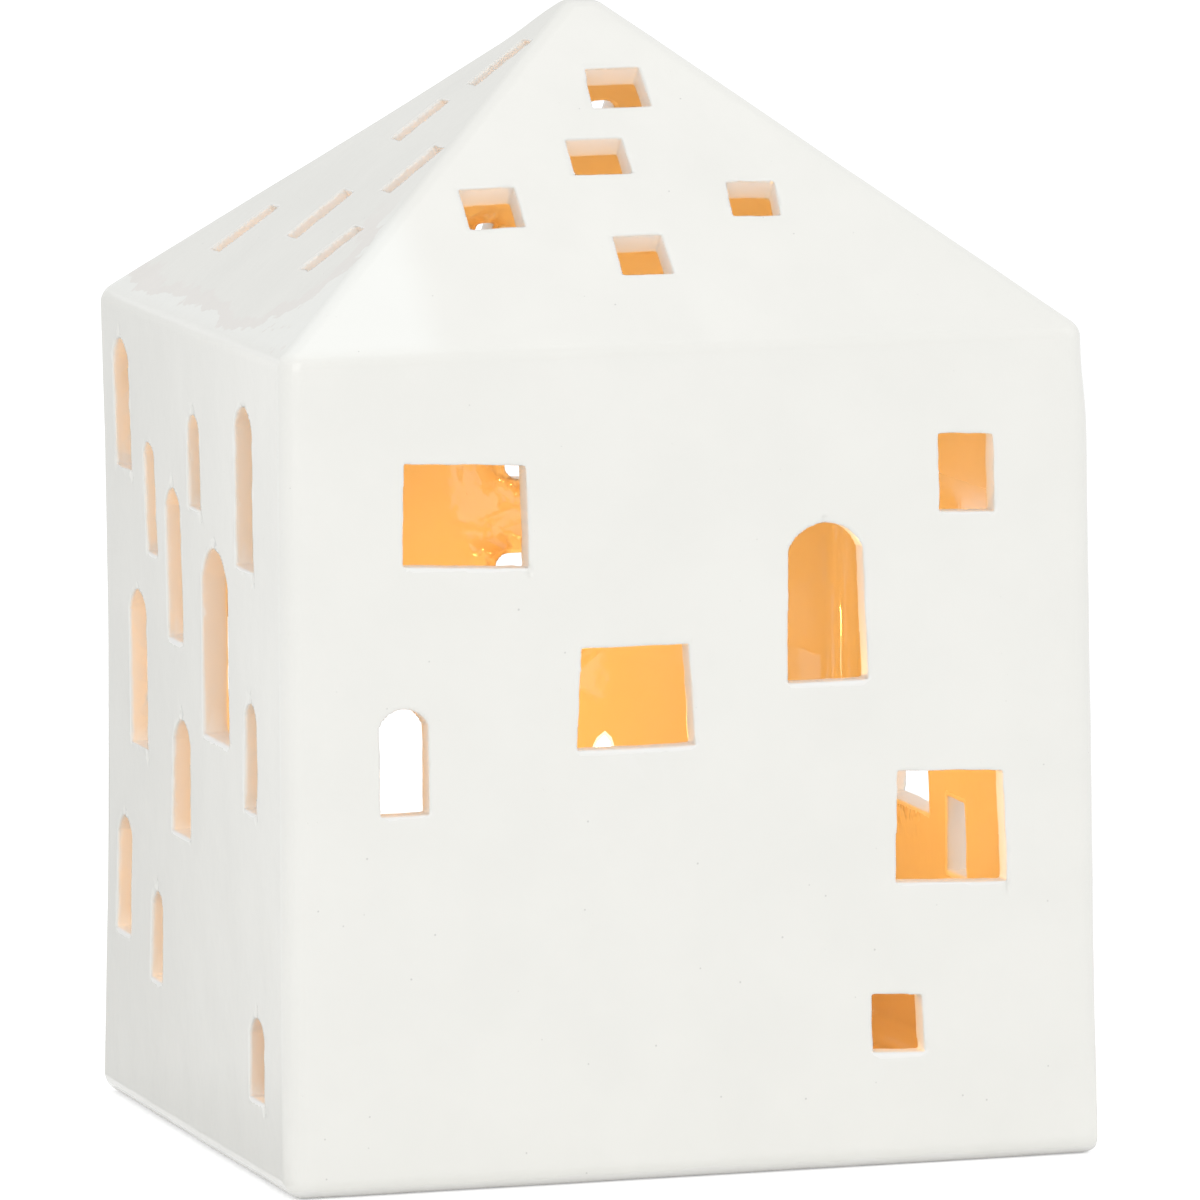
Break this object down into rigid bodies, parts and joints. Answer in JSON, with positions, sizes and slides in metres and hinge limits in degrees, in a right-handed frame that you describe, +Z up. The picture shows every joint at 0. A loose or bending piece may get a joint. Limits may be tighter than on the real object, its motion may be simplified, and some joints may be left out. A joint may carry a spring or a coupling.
{
  "type": "tealight house",
  "caption": "White glazed ceramic house with a pyramid roof and hand-cut windows that lets candlelight out, standing over a tealight in an aluminium cup.",
  "frame": {"origin": "middle of the house's outline on the surface it stands on", "axes": "+Z up through the roof's tip, -Y out of the front wall, +X to the right of the front wall"},
  "size_m": [0.096, 0.0844, 0.1307],
  "materials": {
    "white_glaze": "glossy off-white glaze with fine specks, bare at the foot",
    "cup_aluminium": "thin bright pressed foil",
    "candle_wax": "white paraffin wax, glossy where it is melted",
    "wick_cotton": "braided cotton, charred at the tip",
    "tinplate": "bright tinplate"
  },
  "bodies": {
    "tealight": {"tealight_cup": "cup_aluminium"},
    "candle": {"wax": "candle_wax", "wick": "wick_cotton", "wick_sustainer": "tinplate"},
    "house": {"house_shell": "white_glaze"}
  },
  "joints": [
    {"name": "house_lift", "type": "slide", "parent": "tealight", "child": "house", "axis": [0, 0, 1], "range_m": [0, 0.06]},
    {"name": "candle_lift", "type": "slide", "parent": "tealight", "child": "candle", "axis": [0, 0, 1], "range_m": [0, 0.02]}
  ]
}
